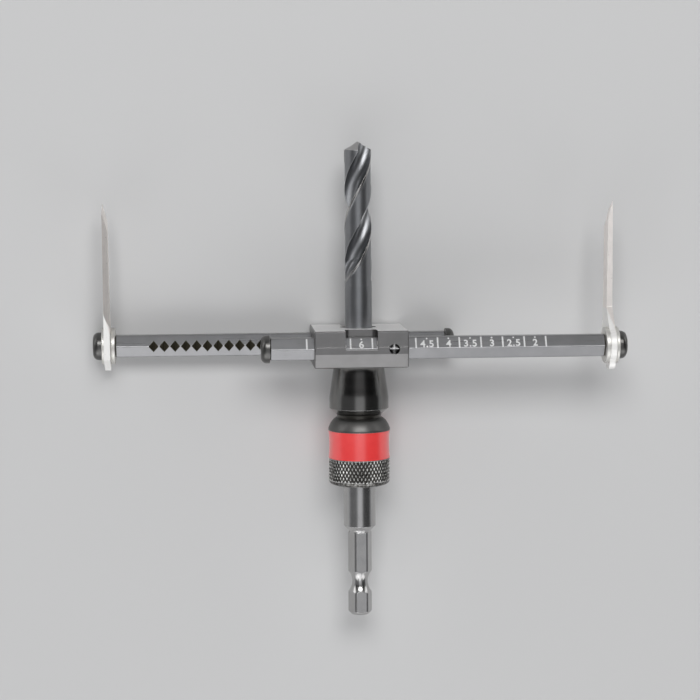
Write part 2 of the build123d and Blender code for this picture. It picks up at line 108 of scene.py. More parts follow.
flat_look = Vector((sin(camera_yaw), 0, -cos(camera_yaw)))
forward = cos(camera_pitch) * flat_look - sin(camera_pitch) * Vector((0, 1, 0))
level_right = Vector((cos(camera_yaw), 0, sin(camera_yaw)))
level_up = level_right.cross(forward)
right = cos(camera_roll) * level_right + sin(camera_roll) * level_up
up = cos(camera_roll) * level_up - sin(camera_roll) * level_right
camera_data = bpy.data.cameras.new("camera")
camera_data.sensor_width = sensor_width
camera_data.lens = focal_pixels / picture_pixels * sensor_width
camera_data.clip_start = 10 * mm
camera_data.clip_end = 5
camera = bpy.data.objects.new("camera", camera_data)
bpy.context.scene.collection.objects.link(camera)
camera_turn = Matrix((right, up, -forward)).transposed().to_4x4()
camera.matrix_world = Matrix.Translation(camera_aim - camera_distance * forward) @ camera_turn
bpy.context.scene.camera = camera
bpy.context.scene.view_settings.view_transform = "Standard"


# Light and floor: a pale matt table under a wide soft box over the drill and a long one towards the
# shank's end, with dimmer lamps on both sides. The world is a grey studio, plain at the horizon.
def wire(tree, kind, inputs, output=0, **settings):
    """Add a shader node, set its properties, and give each input a value or another node's output.

    A Mix node takes its share at 0, two numbers at 2 and 3, and two colours at 6 and 7, and gives the
    mixed number at output 0 and the mixed colour at output 2.
    """
    node = tree.nodes.new("ShaderNode" + kind)
    for key, value in settings.items():
        setattr(node, key, value)
    for key, value in inputs.items():
        if isinstance(value, bpy.types.NodeSocket):
            tree.links.new(value, node.inputs[key])
        else:
            node.inputs[key].default_value = value
    return node.outputs[output]


def between(tree, value, start, end, low, high, smooth=False):
    """Carry value from the span start to end over to the span low to high, and hold it at the ends."""
    spans = {"Value": value, "From Min": start, "From Max": end, "To Min": low, "To Max": high}
    return wire(tree, "MapRange", spans, interpolation_type="SMOOTHSTEP" if smooth else "LINEAR")


def new_material(name):
    """A material with only its shader: return it, its node tree and the shader's inputs."""
    material = bpy.data.materials.new(name)
    material.use_nodes = True
    return material, material.node_tree, material.node_tree.nodes["Principled BSDF"].inputs


def soft_lamp(name, place, width, length, radiance):
    """A rectangular lamp at place that looks at the hub, as bright over its whole face as radiance."""
    data = bpy.data.lights.new(name, "AREA")
    data.shape = "RECTANGLE"
    data.size = width
    data.size_y = length
    data.energy = radiance * pi * width * length
    lamp = bpy.data.objects.new(name, data)
    bpy.context.scene.collection.objects.link(lamp)
    lamp.location = place
    lamp.rotation_euler = (Vector((0, arm_height, 0)) - Vector(place)).to_track_quat("-Z", "Y").to_euler()


floor_material, tree, shader = new_material("pale_table")
shader["Base Color"].default_value = (0.62, 0.62, 0.62, 1)
shader["Roughness"].default_value = 0.9
grain = wire(tree, "TexNoise", {"Vector": wire(tree, "TexCoord", {}, 3), "Scale": 900, "Detail": 3})
grain_relief = {"Height": grain, "Strength": 0.05, "Distance": 0.1 * mm}
tree.links.new(wire(tree, "Bump", grain_relief), shader["Normal"])
floor_reach = 3
floor_z = cad_box[0][2]
floor_mesh = bpy.data.meshes.new("floor")
floor_mesh.from_pydata(
    [(x * floor_reach, y * floor_reach, floor_z) for x, y in ((-1, -1), (1, -1), (1, 1), (-1, 1))],
    [],
    [(0, 1, 2, 3)],
)
floor = bpy.data.objects.new("floor", floor_mesh)
bpy.context.scene.collection.objects.link(floor)
floor_mesh.materials.append(floor_material)

soft_lamp("drill_end_box", (0, 0.76, 1.10), 0.90, 0.50, 6.2)
soft_lamp("shank_end_box", (-0.09, -0.62, 0.55), 0.46, 0.90, 1.0)
for side, name in ((-1, "left"), (1, "right")):
    soft_lamp(name + "_shank_lamp", (0.85 * side, -1.15, 0.75), 1.00, 1.00, 1.6)
    soft_lamp(name + "_drill_lamp", (1.10 * side, 0.74, 0.25), 1.00, 0.50, 1.5)

# The studio's brightness follows the direction of the ray. It falls away to both sides, is highest
# over the shank's end, rises again low over the drill's end, and is one even grey at the horizon.
horizon_grey = 0.55
world = bpy.data.worlds.new("studio")
bpy.context.scene.world = world
world.use_nodes = True
sky = world.node_tree
ray = wire(sky, "TexCoord", {}, 0)
ray_x, ray_y, ray_z = (wire(sky, "SeparateXYZ", {"Vector": ray}, axis) for axis in range(3))
left_dark = between(sky, ray_x, -0.2, -0.42, 0, 0.75, smooth=True)
right_dark = between(sky, ray_x, 0.2, 0.42, 0, 0.92, smooth=True)
either_dark = wire(sky, "Math", {0: left_dark, 1: right_dark}, operation="ADD")
open_sky = wire(sky, "Math", {0: 1.0, 1: either_dark}, operation="SUBTRACT")
shank_side = between(sky, ray_y, 0.06, 0.15, 0.74, 0.03, smooth=True)
drill_glow = between(sky, ray_y, 0.5, 0.72, 0, 0.34, smooth=True)
left_fade = between(sky, ray_x, -0.08, 0.04, 0.7, 1, smooth=True)
right_fade = between(sky, ray_x, 0.06, 0.2, 1, 0.3, smooth=True)
both_fades = wire(sky, "Math", {0: left_fade, 1: right_fade}, operation="MULTIPLY")
drill_side = wire(sky, "Math", {0: drill_glow, 1: both_fades}, operation="MULTIPLY")
both_ends = wire(sky, "Math", {0: shank_side, 1: drill_side}, operation="ADD")
overhead = wire(sky, "Math", {0: both_ends, 1: open_sky}, operation="MULTIPLY")
aloft = between(sky, ray_z, 0.12, 0.28, 0, 1, smooth=True)
strength = wire(sky, "Mix", {0: aloft, 2: horizon_grey, 3: overhead}, data_type="FLOAT")
sky.links.new(strength, sky.nodes["Background"].inputs["Strength"])
sky.nodes["Background"].inputs["Color"].default_value = (0.96, 0.97, 1.0, 1)


# Hub block: one block milled from steel bar, satin nickel plated. Its faces keep the fine straight
# lines of the milling, which run along the arms, under a faintly cloudy plating.
def worked_steel(
    name, tone, lines, rough, spread=0.05, cloud=0.05, depth=0.001, tint=(1, 1, 1), edge=0.12, shine=0.5
):
    """Plated or bare steel: stretched noise for tool marks, soft noise for clouds, and edges painted
    lighter.

    lines gives the marks' number to the millimetre on each axis. The marks vary the tone by spread,
    the roughness between the rough pair, and the surface by depth in millimetres, and the clouds vary
    the tone by cloud. Edges are rounded over edge in millimetres and painted lighter by shine, partly
    wear and partly a painted highlight along them: the amount is how far the rounded normal has
    turned from the plain one.
    """
    material, tree, shader = new_material(name)
    place = wire(tree, "TexCoord", {}, 3)
    stretched = wire(tree, "Mapping", {"Vector": place, "Scale": [count / mm for count in lines]})
    marks = wire(tree, "TexNoise", {"Vector": stretched, "Scale": 1, "Detail": 5, "Roughness": 0.6})
    clouds = wire(tree, "TexNoise", {"Vector": place, "Scale": 0.25 / mm, "Detail": 3})
    rounded = wire(tree, "Bevel", {"Radius": edge * mm}, samples=6)
    plain = wire(tree, "NewGeometry", {}, 1)
    turned_by = wire(tree, "VectorMath", {0: rounded, 1: plain}, 1, operation="DOT_PRODUCT")
    edge_wear_and_highlight = between(tree, turned_by, 0.995, 0.85, 0, shine)
    marks_tone = between(tree, marks, 0.25, 0.75, -spread, spread)
    clouds_tone = between(tree, clouds, 0.3, 0.7, 1 - cloud, 1 + cloud)
    factor = wire(tree, "Math", {0: marks_tone, 1: clouds_tone}, operation="ADD")
    scaled = {0: [tone * part for part in tint], "Scale": factor}
    colour = wire(tree, "VectorMath", scaled, operation="SCALE")
    # Edges are painted lighter here: partly wear, partly a painted highlight along them.
    worn = wire(tree, "Mix", {0: edge_wear_and_highlight, 6: colour, 7: (0.75, 0.75, 0.75, 1)}, 2, data_type="RGBA")
    tree.links.new(worn, shader["Base Color"])
    shader["Metallic"].default_value = 1.0
    tree.links.new(between(tree, marks, 0.3, 0.7, *rough), shader["Roughness"])
    relief = {"Height": marks, "Strength": 1, "Distance": depth * mm, "Normal": rounded}
    tree.links.new(wire(tree, "Bump", relief), shader["Normal"])
    return material


def dressed(node, material, sharp=radians(28), rides=True):
    """Stand a merged copy of a solid's surface in for it, smooth over its curves and flat on its flats."""
    mesh = nodes[node].data.copy()
    shape = bmesh.new()
    shape.from_mesh(mesh)
    bmesh.ops.remove_doubles(shape, verts=shape.verts, dist=0.0005 * mm)
    shape.to_mesh(mesh)
    shape.free()
    for old_shading in ("custom_normal", "sharp_edge", "sharp_face"):
        if old_shading in mesh.attributes:
            mesh.attributes.remove(mesh.attributes[old_shading])
    mesh.shade_smooth()
    mesh.set_sharp_from_angle(angle=sharp)
    mesh.materials.clear()
    mesh.materials.append(material)
    piece = new_piece(node + "_surface", mesh, nodes[node]["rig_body"] if rides else None)
    flats = piece.modifiers.new("flats", "WEIGHTED_NORMAL")
    flats.mode = "FACE_AREA_WITH_ANGLE"
    flats.weight = 50
    flats.keep_sharp = True
    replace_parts(piece, node)
    return piece


def new_piece(name, mesh, body):
    """An object of the scene that moves with a body, if one is named, and takes its finish from its mesh.
    """
    piece = bpy.data.objects.new(name, mesh)
    bpy.context.scene.collection.objects.link(piece)
    if body:
        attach(piece, body)
    return piece


def overlaid(material, mask, colour, rough):
    """Lay another colour and roughness over a finish where mask is 1."""
    tree = material.node_tree
    shader = tree.nodes["Principled BSDF"].inputs
    under = shader["Base Color"].links[0].from_socket
    over = wire(tree, "Mix", {0: mask, 6: under, 7: (*colour, 1)}, 2, data_type="RGBA")
    tree.links.new(over, shader["Base Color"])
    roughnesses = {0: mask, 2: shader["Roughness"].links[0].from_socket, 3: rough}
    tree.links.new(wire(tree, "Mix", roughnesses, data_type="FLOAT"), shader["Roughness"])


hub_finish = worked_steel(
    "milled_nickel", 0.22, (0.1, 2.5, 2.5), (0.30, 0.40), spread=0.03, tint=(1, 0.985, 0.98), shine=0.3
)
# The two drilled detent holes are the same half a turn apart, so x times the sign of z, and y, place
# both. Their walls are painted near black, a painted shade for the deep holes that light hardly reaches.
hole_radius = 1.5 * mm
hole_low, hole_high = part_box("front_detent_ball")
tree = hub_finish.node_tree
place = wire(tree, "TexCoord", {}, 3)
place_x, place_y, place_z = (wire(tree, "SeparateXYZ", {"Vector": place}, axis) for axis in range(3))
half_turn = wire(tree, "Math", {0: place_z}, operation="SIGN")
turned_x = wire(tree, "Math", {0: place_x, 1: half_turn}, operation="MULTIPLY")
turned_place = wire(tree, "CombineXYZ", {0: turned_x, 1: place_y})
hole_middle = ((hole_low.x + hole_high.x) / 2, arm_height, 0)
hole_distance = wire(tree, "VectorMath", {0: turned_place, 1: hole_middle}, 1, operation="DISTANCE")
hole_painted_shade = between(tree, hole_distance, hole_radius + 0.06 * mm, hole_radius + 0.02 * mm, 0, 1)
# Painted shade: the hole walls are painted near black.
overlaid(hub_finish, hole_painted_shade, (0.012, 0.011, 0.01), 0.55)
# The two ends of the bar that the block was cut from are faced off and more matt, and painted brighter:
# partly the faced finish, partly painted light that the top face catches from above.
normal_y = wire(tree, "SeparateXYZ", {"Vector": wire(tree, "TexCoord", {}, 1)}, 1)
faced_and_painted_light = between(tree, wire(tree, "Math", {0: normal_y}, operation="ABSOLUTE"), 0.95, 0.99, 0, 1)
overlaid(hub_finish, faced_and_painted_light, (0.84, 0.835, 0.83), 0.6)
dressed("hub_block", hub_finish, sharp=radians(14))

# Arms: drawn hexagon bar with its corners left round, nickel plated. Drawing leaves long fine lines
# along the bar. The notches in its inner corner are milled across it, and their walls are painted dark
# as painted shade in the notches.
arm_finish = worked_steel(
    "drawn_nickel", 0.26, (0.03, 2.5, 2.5), (0.27, 0.30), spread=0.008, depth=0.0001,
    tint=(0.99, 0.99, 1.01), shine=0.8
)
tree = arm_finish.node_tree
normal_x = wire(tree, "SeparateXYZ", {"Vector": wire(tree, "TexCoord", {}, 1)}, 0)
notch_painted_shade = between(tree, wire(tree, "Math", {0: normal_x}, operation="ABSOLUTE"), 0.3, 0.5, 0, 1)
# Painted shade: the notch walls are painted dark.
overlaid(arm_finish, notch_painted_shade, (0.10, 0.09, 0.065), 0.4)
for side in ("front", "rear"):
    dressed(side + "_arm_bar", arm_finish, sharp=radians(20))

# Scale: white paint in the shallow engraving of each arm's upper face. A tick stands every quarter
# inch, and the cell between two ticks holds the cutting width in inches under a small dot.
cell = 6.35 * mm
scale_first, scale_last, scale_middle = 2.0, 7.0, 6.0
tick_length = 3.3 * mm
tick_width = 0.46 * mm
digit_height = 2.1 * mm
digit_drop = 0.35 * mm
dot_radius = 0.26 * mm
dot_rise = 1.32 * mm
paint_lift = 0.012 * mm
paint_thickness = 0.02 * mm
arm_flat = 3.175 * mm
face_tilt = radians(30)
font_digit_share = 0.7
stroke_growth = 0.035
letter_spacing = 1.12
dot_sides = 12


def number_mesh(text):
    """A number's flat mesh, centred on its middle and as tall as the scale's digits."""
    curve = bpy.data.curves.new("number", "FONT")
    curve.body = text
    curve.size = digit_height / font_digit_share
    curve.offset = stroke_growth * digit_height
    curve.space_character = letter_spacing
    curve.align_x = "CENTER"
    holder = bpy.data.objects.new("number", curve)
    mesh = bpy.data.meshes.new_from_object(holder)
    bpy.data.objects.remove(holder)
    corners = np.empty(len(mesh.vertices) * 3)
    mesh.vertices.foreach_get("co", corners)
    corners = corners.reshape(-1, 3)
    middle = (corners.min(axis=0) + corners.max(axis=0)) / 2
    return corners[:, :2] - middle[:2], [list(face.vertices) for face in mesh.polygons]


def scale_print(name, turn, body):
    """The paint of one arm's scale: outlines laid on the upper face, turned about Y for the rear arm.

    A flat point (x, h) goes to x along the arm and h up the face: place = foot + x X + h U + lift N,
    where N is the face's normal, 30 degrees off Y towards Z, and U lies in the face, square to X.
    """
    flat_corners, flat_faces, count = [], [], 0

    def lay(corners, faces):
        nonlocal count
        flat_corners.append(corners)
        flat_faces.extend([corner + count for corner in face] for face in faces)
        count += len(corners)

    cells = round((scale_last - scale_first) * 2) + 1
    for index in range(cells + 1):
        middle = (scale_middle - scale_last) * 2 * cell + (index - 0.5) * cell
        box = np.array([(-1, -1), (1, -1), (1, 1), (-1, 1)]) / 2
        lay(box * (tick_width, tick_length) + (middle, 0), [[0, 1, 2, 3]])
    for index in range(cells):
        number = scale_last - index / 2
        middle = (scale_middle - number) * 2 * cell
        corners, faces = number_mesh(f"{number:g}")
        lay(corners + (middle, -digit_drop), faces)
        around = np.linspace(0, 2 * pi, dot_sides, endpoint=False)
        dot = dot_radius * np.stack([np.cos(around), np.sin(around)], axis=1)
        lay(dot + (middle, dot_rise), [list(range(dot_sides))])
    flat = np.concatenate(flat_corners)
    normal = np.array((0, sin(face_tilt), cos(face_tilt)))
    face_up = np.array((0, cos(face_tilt), -sin(face_tilt)))
    foot = np.array((0, arm_height, (arm_low.z + arm_high.z) / 2)) + normal * (arm_flat + paint_lift)
    points = foot + flat[:, :1] * (1, 0, 0) + flat[:, 1:] * face_up
    points = points * (turn, 1, turn)
    mesh = bpy.data.meshes.new(name)
    mesh.from_pydata(points.tolist(), [], flat_faces)
    mesh.materials.append(paint_material)
    piece = new_piece(name, mesh, body)
    thickness = piece.modifiers.new("thickness", "SOLIDIFY")
    thickness.thickness = paint_thickness
    thickness.offset = -1


paint_material, tree, shader = new_material("white_paint")
chalk = wire(tree, "TexNoise", {"Vector": wire(tree, "TexCoord", {}, 3), "Scale": 2.5 / mm, "Detail": 4})
shade = between(tree, chalk, 0.3, 0.7, 0.66, 0.82)
tree.links.new(wire(tree, "CombineColor", {0: shade, 1: shade, 2: shade}), shader["Base Color"])
shader["Roughness"].default_value = 0.55
scale_print("front_scale", 1, "front_arm")
scale_print("rear_scale", -1, "rear_arm")

# Receiver: turned steel, blackened and oiled to a smooth gloss, with fine turning rings that only the
# highlights show. Its spigot is pressed into the hub, and its neck is painted darker, a painted shadow
# under the collar.
def blackened(name, tone, rough=(0.15, 0.21), edge_wear_and_highlight=0.4, oil=0.15):
    """Turned and blackened steel under a thin film of oil, its edges painted lighter: partly wear, partly
    painted highlight.
    """
    rings = (0.02, 2.5, 0.02)
    warm = (1, 0.985, 0.955)
    material = worked_steel(name, tone, rings, rough, depth=0.0005, tint=warm, edge=0.2, shine=edge_wear_and_highlight)
    shader = material.node_tree.nodes["Principled BSDF"].inputs
    shader["Coat Weight"].default_value = oil
    shader["Coat Roughness"].default_value = 0.15
    return material


receiver_finish = blackened("oiled_black", 0.19)
tree = receiver_finish.node_tree
station = wire(tree, "SeparateXYZ", {"Vector": wire(tree, "TexCoord", {}, 3)}, 1)
neck_below_arms = 19.5 * mm
neck_top = arm_height - neck_below_arms
neck_painted_shadow = between(tree, station, neck_top, neck_top - 0.4 * mm, 0, 1)
# Painted shadow: the neck under the collar is painted darker.
overlaid(receiver_finish, neck_painted_shadow, (0.07, 0.067, 0.06), 0.35)
dressed("receiver", receiver_finish)

# Shank: turned from the same hexagon bar as a driver bit, nickel plated and bright, with turning
# rings on its round part and groove.
shank_finish = worked_steel(
    "turned_nickel", 0.47, (0.02, 3, 0.02), (0.21, 0.27), spread=0.03, depth=0.0005,
    tint=(1, 0.99, 0.98), shine=0.8
)
dressed("shank", shank_finish, sharp=radians(16))


# Collar: a nose ring and a colour band turned from bar, and a knurled sleeve under them. Nose and
# sleeve are blackened steel, and the band is painted plain red.
def softened(corners, curve_steps=5):
    """Round the corners of a closed outline whose rows are radius, station and rounding.

    Each corner P becomes the curve (1-t)^2 A + 2t(1-t) P + t^2 B, where A and B lie its rounding away
    from it on the two sides that meet there.
    """
    points, rounding = corners[:, :2], corners[:, 2:]
    before = np.roll(points, 1, axis=0) - points
    after = np.roll(points, -1, axis=0) - points
    start = points + before * rounding / np.linalg.norm(before, axis=1, keepdims=True)
    end = points + after * rounding / np.linalg.norm(after, axis=1, keepdims=True)
    t = np.linspace(0, 1, curve_steps)[None, :, None]
    curves = (1 - t) ** 2 * start[:, None] + 2 * t * (1 - t) * points[:, None] + t**2 * end[:, None]
    return curves.reshape(-1, 2)


def refined(outline, step):
    """Divide a closed outline's sides so that no point is further from the next than its side's step."""
    following = np.roll(outline, -1, axis=0)
    parts = np.maximum(1, np.ceil(np.linalg.norm(following - outline, axis=1) / step)).astype(int)
    fractions = np.concatenate([np.arange(count) / count for count in parts])[:, None]
    start, end = np.repeat(outline, parts, axis=0), np.repeat(following, parts, axis=0)
    return start * (1 - fractions) + end * fractions


def ring_mesh(name, radii, stations, angles):
    """Close a grid of radii into a ring: x = r sin a, y = station and z = r cos a, both ways round."""
    rows, columns = radii.shape
    around = np.broadcast_to(angles, radii.shape)
    heights = np.broadcast_to(stations[:, None], radii.shape)
    points = np.stack([radii * np.sin(around), heights, radii * np.cos(around)], axis=-1)
    row, column = np.meshgrid(np.arange(rows), np.arange(columns), indexing="ij")
    here = row * columns + column
    beside = row * columns + (column + 1) % columns
    above = (row + 1) % rows * columns + column
    above_beside = (row + 1) % rows * columns + (column + 1) % columns
    faces = np.stack([here, beside, above_beside, above], axis=-1).reshape(-1, 4)
    return solid_mesh(name, points.reshape(-1, 3), faces)


def solid_mesh(name, points, faces):
    """A closed mesh of quads, turned outwards: its volume, summed from the faces, has to be positive."""
    a, b, c, d = (points[faces[:, corner]] for corner in range(4))
    volume = np.sum(a * np.cross(b, c)) + np.sum(a * np.cross(c, d))
    if volume < 0:
        faces = faces[:, ::-1]
    mesh = bpy.data.meshes.new(name)
    mesh.from_pydata(points.tolist(), [], faces.tolist())
    mesh.shade_smooth()
    mesh.set_sharp_from_angle(angle=radians(40))
    return mesh


def collar_piece(name, corners, material, relief=None, columns=192, fine_radius=inf):
    """Turn an outline about the axis, with an optional relief of radius by station and angle.

    The outline is in millimetres. Its points lie up to 1 mm apart, and up to 0.12 mm beyond
    fine_radius, where the relief needs them.
    """
    outline = softened(np.array(corners) * mm)
    outline = refined(outline, np.where(outline[:, 0] > fine_radius * mm, 0.12 * mm, 1.0 * mm))
    angles = np.linspace(0, 2 * pi, columns, endpoint=False)
    radii = np.repeat(outline[:, :1], columns, axis=1)
    if relief:
        radii = radii + relief(outline[:, :1], outline[:, 1:], angles[None, :])
    mesh = ring_mesh(name, radii, outline[:, 1], angles)
    mesh.materials.append(material)
    piece = new_piece(name + "_surface", mesh, "collar")
    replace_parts(piece, name)
    return mesh


nose_low, nose_high = (corner.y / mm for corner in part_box("nose_ring"))
band_low, band_high = (corner.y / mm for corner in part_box("colour_band"))
sleeve_low, sleeve_high = (corner.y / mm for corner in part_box("release_sleeve"))
tube_gap_radius = 6.15
spigot_radius = 8.0
nose_seat_radius = 8.02
nose_finish = blackened("nose_black", 0.14, (0.42, 0.5), edge_wear_and_highlight=0.5)
collar_piece(
    "nose_ring",
    [
        (6.65, nose_high, 0.12),
        (7.6, nose_high - 0.55, 0.4),
        (8.35, nose_high - 1.5, 0.5),
        (8.85, nose_high - 2.5, 0.5),
        (9.13, nose_low + 0.55, 0.12),
        (9.17, nose_low, 0.08),
        (nose_seat_radius, nose_low, 0.02),
        (nose_seat_radius, sleeve_high, 0.02),
        (tube_gap_radius, sleeve_high, 0.02),
        (tube_gap_radius, nose_high, 0.1),
    ],
    nose_finish,
)

band_material, tree, shader = new_material("band_red")
place = wire(tree, "TexCoord", {}, 3)
mottle = wire(tree, "TexNoise", {"Vector": place, "Scale": 0.35 / mm, "Detail": 3})
paint_mix = between(tree, mottle, 0.35, 0.65, 0, 1)
reds = {0: paint_mix, 6: (0.88, 0.040, 0.040, 1), 7: (0.90, 0.046, 0.045, 1)}
red = wire(tree, "Mix", reds, 2, data_type="RGBA")
tree.links.new(red, shader["Base Color"])
orange_peel = wire(tree, "TexNoise", {"Vector": place, "Scale": 1.6 / mm, "Detail": 2})
tree.links.new(between(tree, orange_peel, 0.3, 0.7, 0.28, 0.33), shader["Roughness"])
peel_relief = {"Height": orange_peel, "Strength": 1, "Distance": 0.001 * mm}
tree.links.new(wire(tree, "Bump", peel_relief), shader["Normal"])
shader["Coat Weight"].default_value = 1.0
shader["Coat IOR"].default_value = 1.9
shader["Coat Roughness"].default_value = 0.26
band_middle = (band_low + band_high) / 2
band_quarter = (band_high - band_low) / 4
collar_piece(
    "colour_band",
    [
        (9.12, band_high, 0.1),
        (8.95, band_middle + band_quarter, 1.2),
        (8.88, band_middle, 1.5),
        (8.95, band_middle - band_quarter, 1.2),
        (9.12, band_low, 0.1),
        (nose_seat_radius, band_low, 0.02),
        (nose_seat_radius, band_high, 0.02),
    ],
    band_material,
)

knurl_count = 50
knurl_rise = 1.9 * mm
knurl_depth = 0.34 * mm
knurl_samples = 8
sleeve_radius = 9.08
knurl_radius = sleeve_radius * mm
knurl_zone = 0.45 * mm
knurl_bottom = (sleeve_low + 1.35) * mm
knurl_top = (band_low - 0.12) * mm


def diamond_knurl(radius, station, angle):
    """Diamonds between two families of slanting grooves.

    With u and v the two families' phases, count * angle / 2 pi plus or minus station / rise, and
    tri(w) = |2 frac(w) - 1|, the surface lies depth * (1 - min(tri(u), tri(v))) below the sleeve.
    """
    turn = knurl_count * angle / (2 * pi)
    u = turn + station / knurl_rise
    v = turn - station / knurl_rise
    ridge = np.minimum(np.abs(2 * (u % 1) - 1), np.abs(2 * (v % 1) - 1))
    fade = 0.25 * mm
    inside = np.clip((station - knurl_bottom) / fade, 0, 1) * np.clip((knurl_top - station) / fade, 0, 1)
    outside = radius > knurl_radius - knurl_zone
    return -knurl_depth * (1 - ridge) * inside * outside


# The sleeve's diamonds are pressed in by two slanting rollers, which leave bright worn tips.
knurl_material, tree, shader = new_material("knurl_black")
place = wire(tree, "TexCoord", {}, 3)
height = wire(tree, "Attribute", {}, 2, attribute_name="tip")
grime = wire(tree, "TexNoise", {"Vector": place, "Scale": 1.2 / mm, "Detail": 4})
rubbed = wire(tree, "Math", {0: height, 1: between(tree, grime, 0.3, 0.7, -0.15, 0.15)}, operation="ADD")
tip = between(tree, rubbed, 0.35, 0.9, 0, 1, smooth=True)
steels = {0: tip, 6: (0.07, 0.067, 0.062, 1), 7: (0.75, 0.745, 0.73, 1)}
steel = wire(tree, "Mix", steels, 2, data_type="RGBA")
tree.links.new(steel, shader["Base Color"])
shader["Metallic"].default_value = 1.0
tree.links.new(between(tree, grime, 0.3, 0.7, 0.24, 0.36), shader["Roughness"])
sleeve_recess_radius = 7.4
sleeve_chamber_radius = 7.2
recess_depth = 1.9
land_taper = 1.25
land_length = 5.85
recess_low = sleeve_high - recess_depth
land_high = recess_low - land_taper
land_low = land_high - land_length
sleeve_mesh = collar_piece(
    "release_sleeve",
    [
        (sleeve_recess_radius, sleeve_high, 0.05),
        (spigot_radius, sleeve_high, 0.05),
        (spigot_radius, band_low, 0.02),
        (sleeve_radius, band_low, 0.06),
        (sleeve_radius, sleeve_low + 1.15, 0.5),
        (8.75, sleeve_low + 0.45, 0.3),
        (7.9, sleeve_low, 0.35),
        (sleeve_chamber_radius, sleeve_low, 0.1),
        (sleeve_chamber_radius, land_low, 0.05),
        (tube_gap_radius, land_low, 0.05),
        (tube_gap_radius, land_high, 0.05),
        (sleeve_recess_radius, recess_low, 0.05),
    ],
    knurl_material,
    relief=diamond_knurl,
    columns=knurl_count * knurl_samples,
    fine_radius=8.6,
)
plain_end_wear = 0.45
corners = np.empty(len(sleeve_mesh.vertices) * 3)
sleeve_mesh.vertices.foreach_get("co", corners)
corners = corners.reshape(-1, 3)
tips = 1 + (np.hypot(corners[:, 0], corners[:, 2]) - knurl_radius) / knurl_depth
tips = np.where(corners[:, 1] > knurl_top, 0, tips)
tips = np.where(corners[:, 1] < knurl_bottom, plain_end_wear, tips)
worn = sleeve_mesh.attributes.new("tip", "FLOAT", "POINT")
worn.data.foreach_set("value", np.clip(tips, 0, 1).astype(np.float32))

# Pilot drill: ground from high speed steel and blackened. Two flutes wind up it, with a thin bright
# margin along each leading edge, and run out above the plain shank that the hub's set screw holds.
drill_low, drill_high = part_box("pilot_drill")
drill_radius = (drill_high.x - drill_low.x) / 2
flute_pitch = 43.0 * mm
flute_radius = 2.9 * mm
flute_offset = 3.6 * mm
waist_height = arm_height + 41.0 * mm
flute_foot = arm_height + 26.0 * mm
runout_slope = 3.5 / 7.5
margin_width = radians(11)
margin_step = radians(2)
body_clearance = 0.16 * mm
point_slope = 1 / tan(radians(59))
point_brightness = 0.6
heel_drop = 0.12
full_flute = radians(45)
land_points = 40
flute_points = 36
drill_rows = 420
point_rows = 14


def drill_section(offset):
    """The drill's outline for each flute offset: columns of u, along the lands, w, and the margin.

    A flute is a circle of flute_radius whose centre is offset out along w. It meets the body's circle
    at the angle a from w, where cos a = (R^2 + offset^2 - flute_radius^2) / (2 R offset), and the lands
    fill what is left. Behind its margin a land lies body_clearance lower, in proportion to a up to
    full_flute, so that the plain shank stays round.
    """
    offset = offset[:, None]
    meeting = (drill_radius**2 + offset**2 - flute_radius**2) / (2 * drill_radius * offset)
    edge = np.arccos(np.clip(meeting, -1, 1))
    t = np.linspace(0, 1, land_points)[None, :]
    land = edge + (pi - 2 * edge) * t
    behind = pi - edge - land
    has_flute = np.clip(edge / full_flute, 0, 1)
    drop = np.clip((behind - margin_width) / margin_step, 0, 1) * np.clip((land - edge) / margin_step, 0, 1)
    radius = drill_radius - body_clearance * drop * has_flute
    land_w, land_u = radius * np.cos(land), radius * np.sin(land)
    s = np.linspace(0, 1, flute_points + 2)[None, 1:-1]
    tip_w = drill_radius * np.cos(edge) - offset
    tip_u = drill_radius * np.sin(edge)
    wall = np.arctan2(tip_u, tip_w)
    sweep = wall + (2 * pi - 2 * wall) * s
    flute_w = -np.minimum(offset + flute_radius * np.cos(sweep), drill_radius)
    flute_u = flute_radius * np.sin(sweep)
    w = np.concatenate([land_w, flute_w], axis=1)
    u = np.concatenate([land_u, flute_u], axis=1)
    margin = np.concatenate([(behind < margin_width) * has_flute, np.zeros_like(flute_w)], axis=1)
    w = np.concatenate([w, -w], axis=1)
    u = np.concatenate([u, -u], axis=1)
    return u, w, np.concatenate([margin, margin], axis=1)


def drill_point(u, w):
    """How far the point's surface lies below its tip: a cone whose height also falls round each land.

    With s the share of a half turn from the lip, s = (angle / pi + 1 / 4) mod 1, the fall grows to
    1 - |2 s - 1| = 1 at the heel and returns over the flute.
    """
    share = (np.arctan2(u, w) / pi + 0.25) % 1
    return np.hypot(u, w) * (point_slope + heel_drop * (1 - np.abs(2 * share - 1)))


